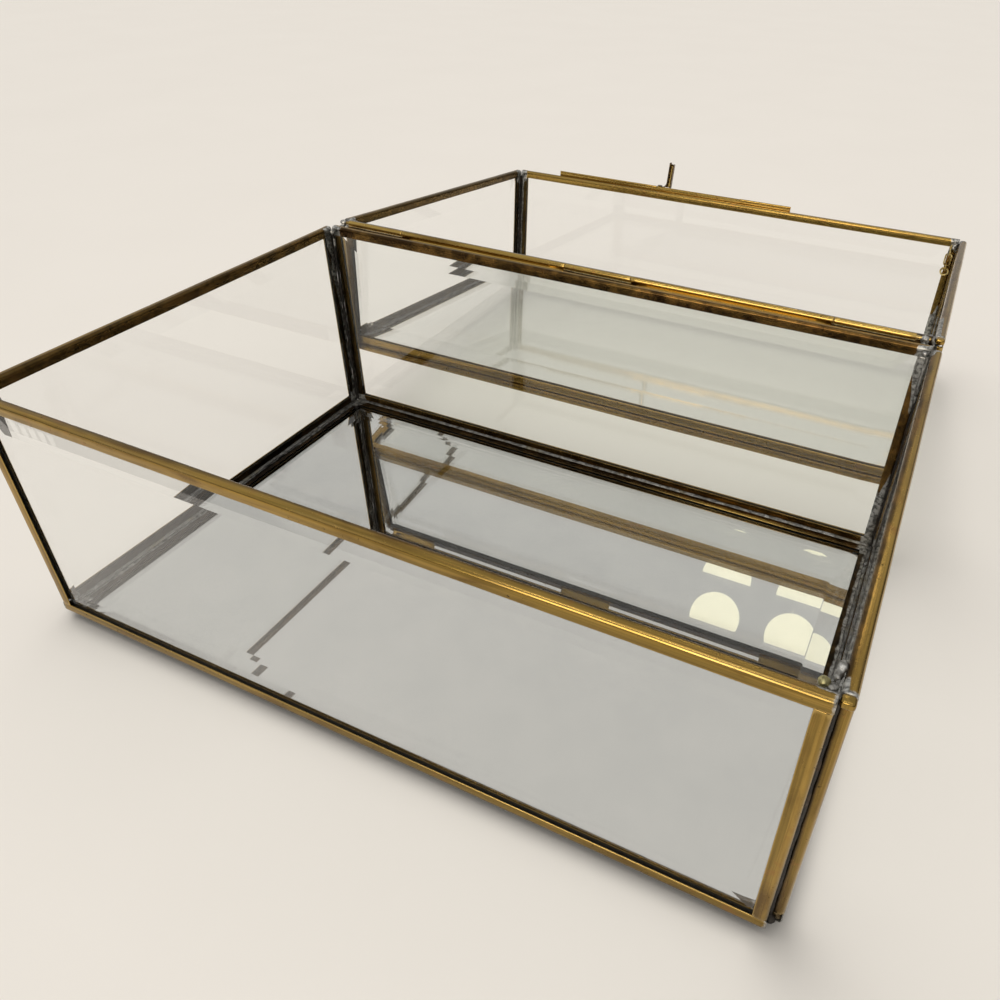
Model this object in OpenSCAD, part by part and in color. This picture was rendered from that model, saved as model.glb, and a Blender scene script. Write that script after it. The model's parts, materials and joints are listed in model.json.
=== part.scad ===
// Glass casket box: a beveled-glass keepsake box with brass came edges and a mirror
// floor, modeled with the lid folded all the way back. Millimetres, Z up, the box
// rests on z = 0, X runs along the hinge and the box opens toward -Y. The origin is
// the centre of the floor's underside.

/* [Box] */
// Width of the box over the side walls
box_width = 300; // [220:1:360]
// Depth of the box from front to back
box_depth = 196; // [150:1:240]
// Height of the base walls
base_wall_height = 101.8; // [70:0.1:130]
// Height of the lid walls
lid_wall_height = 66; // [40:0.5:70]
// How far the floor frame stands out below the base walls
floor_drop = 3.2; // [2.6:0.1:3.4]

/* [Brass came] */
// Thickness of the came over both flanges
came_thickness = 4.1; // [3.8:0.1:4.8]
// Height of the came from its round back to the flange edge
came_height = 4.5; // [4:0.1:6]
// Sheet thickness of the flanges
came_flange = 0.5; // [0.4:0.05:0.6]
// Thickness of the came's back
came_back = 0.9; // [0.7:0.05:1.2]
// Rounding of the back's two edges
came_round = 1.5; // [1.2:0.1:1.7]

/* [Glass] */
// Thickness of the base panes and of the mirror
glass_thickness = 3; // [2.6:0.1:3]
// Thickness of the lid panes
lid_glass_thickness = 2.5; // [2.2:0.1:3]
// Width of the bevel, measured from the pane's edge
bevel_width = 13; // [8:0.5:16]
// Thickness left at the pane's edge
bevel_edge = 1.7; // [1.4:0.1:2.2]

/* [Hinge] */
// Gap between base and lid behind the back wall
hinge_gap = 7.2; // [7.2:0.1:8]
// How far the open lid leans below level, in degrees
open_lean = 5.8; // [0:0.1:5.8]
// Outside diameter of the hinge tube
tube_diameter = 3; // [2.6:0.1:3.4]
// Diameter of the hinge wire
wire_diameter = 1.6; // [1.2:0.1:1.8]
// Radial clearance between the wire and the tube
wire_clearance = 0.05; // [0.03:0.01:0.1]
// Length of each of the three lid knuckles
short_knuckle = 32.5; // [24:0.5:36]
// Length of each of the two base knuckles
long_knuckle = 90.2; // [60:0.1:94]

/* [Lift lip] */
// Left end of the lip, measured from the box's middle
lip_left = -117.5; // [-125:0.5:-90]
// Right end of the lip, measured from the box's middle
lip_right = 44.2; // [20:0.1:110]
// How far the lip reaches past the rim
lip_reach = 2.7; // [2:0.1:5]
// How far the lift tab reaches past the rim
tab_reach = 18.2; // [14:0.1:24]

/* [Chain remnant] */
// Wire thickness of the small chain links
link_wire = 0.9; // [0.7:0.05:1]
// Wire thickness of the end ring
ring_wire = 1.1; // [0.9:0.05:1.2]
// Mean radius of the end ring
ring_radius = 2.15; // [2:0.05:2.4]

/* [Hidden] */
$fn = 48;
E = 0.01;
W = box_width;
D = box_depth;
T = came_thickness;
C = came_height;
R = floor_drop + base_wall_height;     // height of the base rim
RIM_GAP = 0.3;                         // gap between the rims with the lid shut
HY = D/2 + hinge_gap/2;                // hinge axis
HZ = R + RIM_GAP/2;
LY = D/2 + hinge_gap + D/2;            // middle of the open lid, before it leans
TOP_INSET = 0.3;                       // the top frame sits this far inside the lid walls
BRASS = [0.62, 0.49, 0.2];
TIN = [0.62, 0.61, 0.58];
GLASS = [0.75, 0.85, 0.82, 0.35];
MIRROR = [0.8, 0.85, 0.85];

// ---------- came and panes ----------

// Outside outline of the came: across its thickness in x, its back at y = 0.
module came_outline(h = C) {
  r = came_round;
  translate([0, r]) square([T, h - r]);
  translate([r, 0]) square([T - 2*r, h]);
  translate([r, r]) circle(r);
  translate([T - r, r]) circle(r);
}

module came_profile() {
  difference() {
    came_outline();
    translate([came_flange, came_back]) square([T - 2*came_flange, C]);
  }
}

// Four strips around a panel: it spans x 0..L and z 0..H, with its outside face at y = 0.
module came_frame(L, H) {
  module long_strip() { rotate([90, 0, 90]) linear_extrude(L) came_profile(); }
  module short_strip() {
    translate([0, 0, C]) linear_extrude(H - 2*C) mirror([1, -1]) came_profile();
  }
  long_strip();
  translate([0, 0, H]) mirror([0, 0, 1]) long_strip();
  short_strip();
  translate([L, 0, 0]) mirror([1, 0, 0]) short_strip();
}

// Wedge that grinds one bevel along an edge of length L.
module bevel_wedge(L, g) {
  d = g - bevel_edge;
  rotate([90, 0, 90]) translate([0, 0, -1]) linear_extrude(L + 2)
    polygon([[-1, -1], [d + d/(bevel_width - came_back), -1], [0, bevel_width - came_back],
             [-1, bevel_width - came_back]]);
}

// Beveled pane of thickness g for the same panel, against the inner flange.
module pane(L, H, g = glass_thickness) {
  b = came_back;
  y0 = T - came_flange - g;
  l = L - 2*b;
  h = H - 2*b;
  translate([b, y0, b]) difference() {
    cube([l, g, h]);
    bevel_wedge(l, g);
    translate([0, 0, h]) mirror([0, 0, 1]) bevel_wedge(l, g);
    mirror([1, 0, -1]) bevel_wedge(h, g);
    translate([l, 0, 0]) mirror([1, 0, 0]) mirror([1, 0, -1]) bevel_wedge(h, g);
  }
}

// Where each wall stands, around a middle point at floor level.
module at_front() { translate([-W/2 + T, -D/2, 0]) children(); }
module at_back() { mirror([0, 1, 0]) at_front() children(); }
module at_left() { translate([-W/2, D/2 - T, 0]) rotate([0, 0, -90]) children(); }
module at_right() { mirror([1, 0, 0]) at_left() children(); }
LX = W - 2*T;
LD = D - 2*T;

// Solder that runs up one corner notch between two walls of height h.
module corner_bead(h) {
  module notch_fill() {
    difference() {
      polygon([[-0.9, -0.9], [2, -0.9], [2, 0.7], [0.7, 2], [-0.9, 2]]);
      mirror([1, 0]) mirror([1, -1]) came_outline();
      mirror([0, 1]) came_outline();
    }
  }
  translate([0, 0, C]) linear_extrude(h - 2*C) notch_fill();
  translate([0, 0, 0.8]) linear_extrude(C - 0.8) square(1.6);
  translate([0, 0, h - C]) linear_extrude(C - 0.5) square(1.6);
}

module four_corners() {
  for (mx = [0, 1], my = [0, 1])
    mirror([mx, 0, 0]) mirror([0, my, 0]) translate([W/2 - T, -D/2 + T, 0]) mirror([0, 1, 0]) children();
}

// ---------- base ----------

module base_up() { translate([0, 0, floor_drop]) children(); }

module base_front_glass() { color(GLASS) base_up() at_front() pane(LX, base_wall_height); }
module base_back_glass() { color(GLASS) base_up() at_back() pane(LX, base_wall_height); }
module base_left_glass() { color(GLASS) base_up() at_left() pane(LD, base_wall_height); }
module base_right_glass() { color(GLASS) base_up() at_right() pane(LD, base_wall_height); }
module base_front_came() { color(BRASS) base_up() at_front() came_frame(LX, base_wall_height); }
module base_back_came() { color(BRASS) base_up() at_back() came_frame(LX, base_wall_height); }
module base_left_came() { color(BRASS) base_up() at_left() came_frame(LD, base_wall_height); }
module base_right_came() { color(BRASS) base_up() at_right() came_frame(LD, base_wall_height); }

module floor_place() { translate([-LX/2, -LD/2, T]) rotate([-90, 0, 0]) children(); }
module floor_mirror() { color(MIRROR) floor_place() pane(LX, LD); }
// Felt pad under the mirror, level with the underside of the floor frame.
module floor_pad() {
  color([0.2, 0.32, 0.24]) translate([-LX/2 + C, -LD/2 + C, 0]) cube([LX - 2*C, LD - 2*C, came_flange]);
}
module floor_came() { color(BRASS) floor_place() came_frame(LX, LD); }

module base_corner_solder() { color(TIN) base_up() four_corners() corner_bead(base_wall_height); }

// Bead where the floor frame meets the wall; x runs inward from the wall's inner face.
module floor_bead(len) {
  rotate([90, 0, 0]) translate([0, 0, -len/2]) linear_extrude(len) difference() {
    polygon([[-1, 3], [1, 3], [1.9, T], [1.9, T + 0.15], [0.4, T + 0.9], [0, T + 0.95], [-1, T + 0.5]]);
    translate([-T, floor_drop]) came_outline();
    mirror([1, -1]) came_outline();
  }
}
module floor_solder() {
  color(TIN) union() {
    for (m = [0, 1]) {
      mirror([m, 0, 0]) translate([-LX/2, 0, 0]) floor_bead(LD - 2*C);
      mirror([0, m, 0]) rotate([0, 0, 90]) translate([-LD/2, 0, 0]) floor_bead(LX);
    }
  }
}

// ---------- hinge ----------

module knuckle(len) {
  rotate([90, 0, 90]) difference() {
    linear_extrude(len) union() {
      circle(d = tube_diameter);
      polygon([[-hinge_gap/2, -3.5], [-hinge_gap/2, -RIM_GAP/2 - came_round], [-0.9, 0.95], [0, 0], [-1.1, -0.9]]);
    }
    translate([0, 0, -1]) cylinder(d = wire_diameter + 2*wire_clearance, h = len + 2);
  }
}

GAP = 0.3;
PITCH = short_knuckle + long_knuckle + 2*GAP;

module hinge_knuckles_base() {
  color(BRASS) translate([-0.6, HY, HZ])
    for (x = [-PITCH/2 - long_knuckle/2, PITCH/2 - long_knuckle/2]) translate([x, 0, 0]) knuckle(long_knuckle);
}

module hinge_knuckles_lid() {
  color(BRASS) lean() translate([-0.6, HY, HZ])
    for (x = [-PITCH, 0, PITCH]) translate([x - short_knuckle/2, 0, 0]) mirror([0, 1, 0]) knuckle(short_knuckle);
}

WIRE_END = PITCH + short_knuckle/2 + 5.4;
module hinge_wire() {
  color(BRASS) translate([-0.6 - WIRE_END, HY, HZ]) rotate([0, 90, 0]) cylinder(d = wire_diameter, h = 2*WIRE_END);
}

// Solder that holds each end of the wire to the base's back rail.
module hinge_wire_solder() {
  color(TIN) for (x = [-0.6 - WIRE_END + 0.4, -0.6 + WIRE_END - 3.4]) translate([x, HY, HZ]) rotate([90, 0, 90])
    difference() {
      linear_extrude(3) union() {
        circle(d = tube_diameter + 0.4);
        polygon([[-hinge_gap/2, -3.3], [-hinge_gap/2, -RIM_GAP/2 - came_round], [-1, 1.3], [0, 0], [-0.9, -1.4]]);
      }
      translate([0, 0, -1]) cylinder(d = wire_diameter, h = 5);
    }
}

// ---------- lid ----------

// Turns the level open lid about the hinge to where it rests.
module lean() { translate([0, HY, HZ]) rotate([-open_lean, 0, 0]) translate([0, -HY, -HZ]) children(); }
module lid_walls() { lean() translate([0, LY, R - lid_wall_height]) children(); }

// The lid's own front is the far side while it is folded back.
module lid_front_glass() { color(GLASS) lid_walls() at_back() pane(LX, lid_wall_height, lid_glass_thickness); }
module lid_back_glass() { color(GLASS) lid_walls() at_front() pane(LX, lid_wall_height, lid_glass_thickness); }
module lid_left_glass() { color(GLASS) lid_walls() at_left() pane(LD, lid_wall_height, lid_glass_thickness); }
module lid_right_glass() { color(GLASS) lid_walls() at_right() pane(LD, lid_wall_height, lid_glass_thickness); }
module lid_front_came() { color(BRASS) lid_walls() at_back() came_frame(LX, lid_wall_height); }
module lid_back_came() { color(BRASS) lid_walls() at_front() came_frame(LX, lid_wall_height); }
module lid_left_came() { color(BRASS) lid_walls() at_left() came_frame(LD, lid_wall_height); }
module lid_right_came() { color(BRASS) lid_walls() at_right() came_frame(LD, lid_wall_height); }
module lid_corner_solder() { color(TIN) lid_walls() four_corners() corner_bead(lid_wall_height); }

TX = W - 2*TOP_INSET;
TD = D - 2*TOP_INSET;
module top_place() {
  lid_walls() translate([-TX/2, -TD/2, -T]) mirror([0, 0, 1]) rotate([-90, 0, 0]) children();
}
module lid_top_glass() { color(GLASS) top_place() pane(TX, TD, lid_glass_thickness); }
module lid_top_came() { color(BRASS) top_place() came_frame(TX, TD); }

// Bead inside the lid where its walls stand on the top frame.
module top_bead(len) {
  rotate([90, 0, 0]) translate([0, 0, -len/2]) linear_extrude(len) difference() {
    polygon([[-1, 0], [0.55, 0], [0.5, 0.2], [0.15, 1], [-0.1, 1.3], [-1, 1.3]]);
    translate([-T, 0]) came_outline();
  }
}
module lid_top_solder() {
  color(TIN) lid_walls() union() {
    for (m = [0, 1]) {
      mirror([m, 0, 0]) translate([-LX/2, 0, 0]) top_bead(LD);
      mirror([0, m, 0]) rotate([0, 0, 90]) translate([-LD/2, 0, 0]) top_bead(LX);
    }
  }
}

// ---------- lift lip and tab ----------

FY = D/2 + hinge_gap + D;      // outside face of the lid's front wall, before it leans
TAB_X = -39.4;                 // left face of the upright tab
BAR = (TAB_X - 6.9) - lip_left;  // length of the lip's left rolled edge
ROLL = 0.7;                    // radius of the rolled edge

module lift_lip() {
  len = lip_right - lip_left;
  color(BRASS) lean() translate([lip_left, FY, R]) rotate([90, 0, 90]) union() {
    linear_extrude(len) polygon([[0, -3.6], [1.3, -3.6], [1.3, lip_reach - 0.2], [0.6, lip_reach - 0.2], [0.6, -0.6], [0, -0.9]]);
    linear_extrude(BAR) translate([1.05, lip_reach - ROLL]) circle(ROLL);
    translate([0, 0, len - 33.2]) linear_extrude(33.2) translate([1.05, lip_reach - ROLL]) circle(ROLL);
  }
}

// Lift tab: a short bent channel that opens toward the box, standing on the lip.
module lift_tab() {
  w = 0.7;
  wide = 3.1;
  bend = 3.6;
  foot = 2.4;
  up = tab_reach - lip_reach + 0.2 - bend;
  module left_rib() {
    translate([TAB_X - bend - foot, 0]) square([foot + E, w]);
    intersection() {
      translate([TAB_X - bend, bend]) difference() { circle(bend + w); circle(bend); }
      translate([TAB_X - bend, -w]) square([bend + w, bend + w]);
    }
    translate([TAB_X, bend]) rotate(-3) translate([0, -0.05]) square([w, up]);
  }
  module right_rib() {
    translate([TAB_X, bend]) rotate(-3) translate([wide - w, -bend - 0.2]) square([w, bend + up - 0.6]);
  }
  module web() {
    translate([TAB_X, bend]) rotate(-3) translate([0.2, -0.05]) square([wide - 0.4, up - 0.9]);
    difference() {
      translate([TAB_X - bend + 0.5, 0]) square([bend + wide - 0.9, bend]);
      translate([TAB_X - bend, bend]) circle(bend + 0.2);
    }
  }
  // the flat drawing stands upright in the lid's front plane
  module upright(y0, y1) {
    translate([0, FY + y1, R + lip_reach - 0.2]) rotate([90, 0, 0]) linear_extrude(y1 - y0) children();
  }
  color(BRASS) lean() intersection() {
    union() {
      upright(0.6, 3.1) { left_rib(); right_rib(); }
      upright(2.4, 3.1) web();
    }
    translate([TAB_X - 20, FY, R + lip_reach - 0.2]) cube([40, 10, 40]);
  }
}

// ---------- chain remnant ----------

// Where a point of the level open lid comes to rest.
function leaned(p) = [p[0],
  HY + (p[1] - HY)*cos(open_lean) + (p[2] - HZ)*sin(open_lean),
  HZ - (p[1] - HY)*sin(open_lean) + (p[2] - HZ)*cos(open_lean)];

L1L = 5.7;                               // mean length of the first link
L2L = 7.2;                               // mean length of the second link
L2R = 1.65;                              // mean end radius of the long links
L3R = 1.75;                              // mean radius of the third link
PLAY = link_wire + 0.05;                 // wire centre to wire centre
ANCHOR = leaned([W/2 - T - 3.5, FY - T - 4.1, R - 5.7]);
P12 = ANCHOR - [0, 0, L1L/2];            // bottom of link 1: link 2 swings here
P23 = P12 + [0, 0, PLAY - L2L];          // bottom of link 2: link 3 swings here
P34 = P23 + [0, 0, PLAY - 2*L3R];        // bottom of link 3: the ring swings here
RING_C = P34 + [0, 0, (link_wire + ring_wire)/2 + 0.05 - ring_radius];

module ring(mean, wire) { rotate_extrude() translate([mean, 0]) circle(d = wire); }

// Oval link around the origin, long in y.
module oval(length) {
  s = length - 2*L2R;
  for (m = [0, 1]) rotate([0, 0, 180*m]) {
    translate([0, s/2, 0]) rotate_extrude(angle = 180) translate([L2R, 0]) circle(d = link_wire);
    translate([-L2R, -s/2, 0]) rotate([-90, 0, 0]) cylinder(d = link_wire, h = s);
  }
}
module link_1_place() { translate(ANCHOR) rotate([90, 0, 90]) oval(L1L); }
module chain_link_1() { color(BRASS) link_1_place(); }
module chain_link_2() { color(BRASS) translate(P12 + [0, 0, PLAY - L2L/2]) rotate([90, 0, 0]) oval(L2L); }
module chain_link_3() { color(BRASS) translate(P23 + [0, 0, PLAY - L3R]) rotate([0, 90, 0]) ring(L3R, link_wire); }
module chain_ring() { color(BRASS) translate(RING_C) rotate([90, 0, 0]) ring(ring_radius, ring_wire); }

// Solder bead in the lid's front right corner that holds the first link.
module chain_solder() {
  color(TIN) difference() {
    lean() intersection() {
      translate([W/2 - T - 1.7, FY - T - 1.6, R - 2.9]) sphere(2.5);
      cube([W/2 - T, FY - T, 2*R]);
    }
    lean() translate([W/2 - T - 0.9, FY - T - 0.9, 0]) cube([2, 2, R - C]);
    link_1_place();
  }
}

base_front_glass();
base_back_glass();
base_left_glass();
base_right_glass();
floor_mirror();
floor_pad();
base_front_came();
base_back_came();
base_left_came();
base_right_came();
floor_came();
base_corner_solder();
floor_solder();
hinge_knuckles_base();
hinge_wire();
hinge_wire_solder();
lid_front_glass();
lid_back_glass();
lid_left_glass();
lid_right_glass();
lid_top_glass();
lid_front_came();
lid_back_came();
lid_left_came();
lid_right_came();
lid_top_came();
lid_corner_solder();
lid_top_solder();
hinge_knuckles_lid();
lift_lip();
lift_tab();
chain_solder();
chain_link_1();
chain_link_2();
chain_link_3();
chain_ring();
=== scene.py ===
import json
import math
from random import Random

import bmesh
import bpy
import numpy as np
from mathutils import Matrix, Vector, noise

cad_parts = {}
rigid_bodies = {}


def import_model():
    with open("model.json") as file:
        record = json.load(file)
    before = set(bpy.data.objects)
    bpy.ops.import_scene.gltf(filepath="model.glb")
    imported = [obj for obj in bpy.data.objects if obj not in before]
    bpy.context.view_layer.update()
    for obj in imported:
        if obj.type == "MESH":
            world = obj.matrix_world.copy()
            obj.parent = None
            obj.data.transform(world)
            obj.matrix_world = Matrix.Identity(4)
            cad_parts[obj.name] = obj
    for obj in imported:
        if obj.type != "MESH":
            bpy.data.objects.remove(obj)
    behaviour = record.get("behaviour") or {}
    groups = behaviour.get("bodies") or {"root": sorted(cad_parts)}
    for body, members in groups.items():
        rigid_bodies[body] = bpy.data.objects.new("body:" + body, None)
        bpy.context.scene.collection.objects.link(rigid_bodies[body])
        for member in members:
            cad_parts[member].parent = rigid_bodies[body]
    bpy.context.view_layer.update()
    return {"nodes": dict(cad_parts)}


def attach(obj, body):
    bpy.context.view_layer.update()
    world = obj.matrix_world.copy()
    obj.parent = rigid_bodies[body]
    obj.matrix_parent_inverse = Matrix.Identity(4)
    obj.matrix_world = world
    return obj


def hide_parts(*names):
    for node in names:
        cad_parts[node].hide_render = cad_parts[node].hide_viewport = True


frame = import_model()
scene = bpy.context.scene

# ---------------------------------------------------------------- sizes, in millimetres
MM = 0.001
W, D = 300.0, 196.0
T, C, FL, BK, RR = 4.1, 4.5, 0.5, 0.9, 1.5
DROP, WALL, LIDH = 3.2, 101.8, 66.0
R = DROP + WALL
RIM_GAP, HINGE_GAP, LEAN = 0.3, 7.2, math.radians(5.8)
HY, HZ = D / 2 + HINGE_GAP / 2, R + RIM_GAP / 2
LY = D / 2 + HINGE_GAP + D / 2
FY = LY + D / 2
LX, LD = W - 2 * T, D - 2 * T
TX, TD = W - 0.6, D - 0.6
TAB_X = -39.4


# ---------------------------------------------------------------- where each panel stands
def mapped(p, f):
    p = np.asarray(p, float)
    return np.column_stack(f(p[:, 0], p[:, 1], p[:, 2]))


def lean(p):
    c, s = math.cos(LEAN), math.sin(LEAN)
    return mapped(p, lambda x, y, z: (x, HY + (y - HY) * c + (z - HZ) * s, HZ - (y - HY) * s + (z - HZ) * c))


def front(p):
    return mapped(p, lambda x, y, z: (x - W / 2 + T, y - D / 2, z))


def back(p):
    return mapped(p, lambda x, y, z: (x - W / 2 + T, D / 2 - y, z))


def left(p):
    return mapped(p, lambda x, y, z: (y - W / 2, D / 2 - T - x, z))


def right(p):
    return mapped(p, lambda x, y, z: (W / 2 - y, D / 2 - T - x, z))


def base_up(p):
    return np.asarray(p, float) + [0, 0, DROP]


def lid_walls(p):
    return lean(np.asarray(p, float) + [0, LY, R - LIDH])


def floor_place(p):
    return mapped(p, lambda x, y, z: (x - LX / 2, z - LD / 2, T - y))


def top_place(p):
    return lid_walls(mapped(p, lambda x, y, z: (x - TX / 2, z - TD / 2, y - T)))


# ---------------------------------------------------------------- mesh helpers
def build(name, parts, mats, smooth=True):
    """One object from parts of (points in mm, faces, material index per face, strip coordinates, wear, [age_and_shade:
    dark (patina and painted shade) and tinned]).
    """
    V, F, M, S, E, G = [], [], [], [], [], []
    base = 0
    for pts, faces, idx, strip, wear, *age_and_shade in parts:
        G.append(np.asarray(age_and_shade[0], float) if age_and_shade else np.zeros((len(pts), 3)))
        V.append(np.asarray(pts, float) * MM)
        F += [tuple(i + base for i in f) for f in faces]
        M += list(idx)
        S.append(np.asarray(strip, float))
        E.append(np.asarray(wear, float))
        base += len(pts)
    V, S, E, G = np.vstack(V), np.vstack(S), np.concatenate(E), np.vstack(G)
    me = bpy.data.meshes.new(name)
    me.from_pydata(V.tolist(), [], F)
    me.attributes.new("strip", "FLOAT_VECTOR", "POINT").data.foreach_set("vector", S.astype(np.float32).ravel())
    me.attributes.new("wear", "FLOAT", "POINT").data.foreach_set("value", E.astype(np.float32))
    me.attributes.new("age_and_shade", "FLOAT_VECTOR", "POINT").data.foreach_set("vector", G.astype(np.float32).ravel())
    for m in mats:
        me.materials.append(m)
    me.polygons.foreach_set("material_index", np.array(M, np.int32))
    bm = bmesh.new()
    bm.from_mesh(me)
    bmesh.ops.recalc_face_normals(bm, faces=bm.faces[:])
    bm.to_mesh(me)
    bm.free()
    me.polygons.foreach_set("use_smooth", np.full(len(me.polygons), smooth))
    me.update()
    ob = bpy.data.objects.new(name, me)
    scene.collection.objects.link(ob)
    return ob


def came_profile():
    """Closed outline of the came across its length: (u, v, normal u, normal v, inside, wear)."""
    P = []
    g = 0.05

    def add(u, v, nu, nv, inside=0.0, wear=0.0):
        P.append((u, v, nu, nv, inside, wear))

    crown = lambda v: g + 0.15 * max(0.0, (v - 1.9) / 2.3) ** 1.6
    for v in (4.15, 3.6, 3.0, 2.4, 1.9):
        add(crown(v), v, -1, 0, 0, 0.25 if v > 4 else 0.0)
    for i in range(9):
        a = math.pi + (math.pi / 2) * i / 8
        add(RR + (RR - g) * math.cos(a), RR + RR * math.sin(a), math.cos(a), math.sin(a), 0, 0.45 * math.sin(math.pi * i / 8))
    add(T / 2, 0, 0, -1, 0, 0.15)
    for i in range(9):
        a = 1.5 * math.pi + (math.pi / 2) * i / 8
        add(T - RR + (RR - g) * math.cos(a), RR + RR * math.sin(a), math.cos(a), math.sin(a), 0, 0.45 * math.sin(math.pi * i / 8))
    for v in (1.9, 2.4, 3.0, 3.6, 4.15):
        add(T - crown(v), v, 1, 0, 0, 0.25 if v > 4 else 0.0)
    h = FL / 2
    for i in range(1, 6):
        a = math.pi * i / 6
        add(T - g - 0.15 - h + h * math.cos(a), C - h + h * math.sin(a), math.cos(a), math.sin(a), 0, 0.9)
    for v in (4.1, 3.2, 2.2, 1.3):
        add(T - g - FL - (0.15 if v > 4 else 0.05 if v > 3 else 0.0), v, -1, 0, 1)
    add(T - g - FL - 0.06, BK + 0.1, -0.7, 0.7, 1)
    add(T - g - FL - 0.25, BK, 0, 1, 1)
    add(T / 2, BK, 0, 1, 1)
    add(FL + g + 0.25, BK, 0, 1, 1)
    add(FL + g + 0.06, BK + 0.1, 0.7, 0.7, 1)
    for v in (1.3, 2.2, 3.2, 4.1):
        add(FL + g + (0.15 if v > 4 else 0.05 if v > 3 else 0.0), v, 1, 0, 1)
    for i in range(1, 6):
        a = math.pi * i / 6
        add(g + 0.15 + h + h * math.cos(a), C - h + h * math.sin(a), math.cos(a), math.sin(a), 0, 0.9)
    return np.array(P)


PROFILE = came_profile()
ARC = np.concatenate([[0], np.cumsum(np.hypot(*(np.diff(PROFILE[:, :2], axis=0).T)))])


def n1(x, seed, y=0.0):
    return noise.noise(Vector((x, y + seed * 7.31, seed * 3.17)))


def came_strip(length, seed, step=2.0):
    """A strip of came from s = 0 to length: points (s, u, v), faces, material index, strip coordinates, wear."""
    n = max(2, int(round(length / step)))
    ss = [0.0, 0.18, 0.45] + [length * i / n for i in range(1, n)] + [length - 0.45, length - 0.18, length]
    inset = {0: 0.2, 1: 0.06, len(ss) - 2: 0.06, len(ss) - 1: 0.2}
    k = len(PROFILE)
    nu, nv, inside = PROFILE[:, 2], PROFILE[:, 3], PROFILE[:, 4]
    pts, strip, wear = [], [], []
    fade = lambda s: min(1.0, s / 6.0, (length - s) / 6.0)
    for j, s in enumerate(ss):
        du = 0.035 * n1(s / 35.0, seed) * 2 * fade(s)
        du = max(-0.045, min(0.045, du))
        dv = 0.05 * max(0.0, 0.5 + n1(s / 48.0, seed + 11)) * 2 * fade(s)
        push = np.zeros(k)
        for i in range(k):
            if not inside[i]:
                ripple = 0.5 + noise.noise(Vector((s / 16.0, ARC[i] / 4.5, seed * 5.1)))
                fine = 0.5 + noise.noise(Vector((s / 5.0, ARC[i] / 3.0, seed * 9.7 + 4)))
                dent = max(0.0, noise.noise(Vector((s / 5.0, ARC[i] / 2.5, seed * 2.3 + 9))) - 0.47)
                push[i] = 0.03 * ripple + 0.006 * fine + 0.3 * dent
        push *= min(1.0, 0.25 + fade(s))
        push += inset.get(j, 0.0)
        u = PROFILE[:, 0] + du - nu * push
        v = PROFILE[:, 1] + dv - nv * push
        u = np.where(inside > 0, PROFILE[:, 0], u)
        pts.append(np.column_stack([np.full(k, s), u, v]))
        strip.append(np.column_stack([np.full(k, s * MM), ARC * MM, np.full(k, seed * 0.37)]))
        wear.append(PROFILE[:, 5] + (0.5 if s < 1.0 or s > length - 1.0 else 0.0))
    faces, idx = [], []
    for j in range(len(ss) - 1):
        a, b = j * k, (j + 1) * k
        for i in range(k):
            i2 = (i + 1) % k
            faces.append((a + i, a + i2, b + i2, b + i))
            idx.append(1 if inside[i] and inside[i2] else 0)
    faces.append(tuple(range(k)))
    faces.append(tuple((len(ss) - 1) * k + i for i in reversed(range(k))))
    idx += [0, 0]
    return np.vstack(pts), faces, idx, np.vstack(strip), np.concatenate(wear)


def ease(x, a, b):
    t = np.clip((np.asarray(x, float) - a) / (b - a), 0, 1)
    return t * t * (3 - 2 * t)


def tarnish_and_shade(name, e, s, v, inner, length):
    """Extra tarnish and painted shade of one strip of one panel beyond the common pattern: dark, tin and brown at each
    point. Part of the dark stands in for shade and dark reflections.
    """
    zero = np.zeros(len(s))
    dark, tin, brown = zero, zero, inner * 0.45
    if name == "base_back":
        brown = inner * (0.8, 1.0, 0.2, 1.0)[e]
        if e == 2:
            tin = -0.5 * inner * ease(v, 0.6, 1.6)
        if e == 3:
            dark = -0.85 * inner
            high = ease(s, 68, 78) * (1 - ease(v - (s - 68) * 0.24, -0.4, 1.4))
            low = (1 - ease(s, 16, 44)) * 0.9
            tin = inner * (np.maximum(high, low) - 0.6 * (1 - ease(s, 60, 76)) * ease(s, 20, 40))
    elif name == "base_right":
        brown = inner * (0.8, 0.9, 0.8, 0.8)[e]
        if e == 1:
            dark = -0.2 * inner
            tin = inner * 0.55 * (1 - ease(s, 18, 60)) * ease(v, 1.5, 3.0)
        if e == 2:
            dark, tin = -0.6 * inner, inner * 0.3
    elif name == "base_left":
        brown = inner * 0.8
        if e == 2:
            tin = inner * 0.5 * ease(s, 50, 75)
    elif name == "lid_back" and e == 1:
        dark, brown = zero + 0.8, zero + 1.0
    elif name == "lid_right" and e == 1:
        brown = inner * 0.9
        dark = -0.25 * inner
        tin = inner * ease(s, length - 30, length - 22)
    elif name == "lid_back" and e == 2:
        dark = zero + 0.85
    elif name in ("lid_right", "lid_back") and e == 3:
        dark, brown = -0.8 * inner, inner * 0.6
        tin = inner * ease(s, 12, 30)
    elif name == "lid_front" and e == 1:
        dark, brown = zero - 0.5, zero
    elif (name, e) in (("lid_front", 3), ("lid_right", 2)):
        dark, brown = -0.85 * inner, inner * 0.35
        tin = inner * ((1 - ease(s, 13, 19)) - 0.6 * ease(s, 19, 26))
    elif name == "floor":
        brown = zero + 0.9
        tin = inner * 0.25
        if e == 1:
            # painted highlight: the patina is cleared in a patch of the back floor strip where the lamps' highlight
            # falls
            highlight_patch = np.exp(-(((s - 228) / 34.0) ** 2)) * ease(v, 2.0, 3.0)
            dark, brown, tin = -highlight_patch, brown - highlight_patch, tin - highlight_patch
    return dark, tin, brown


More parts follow.
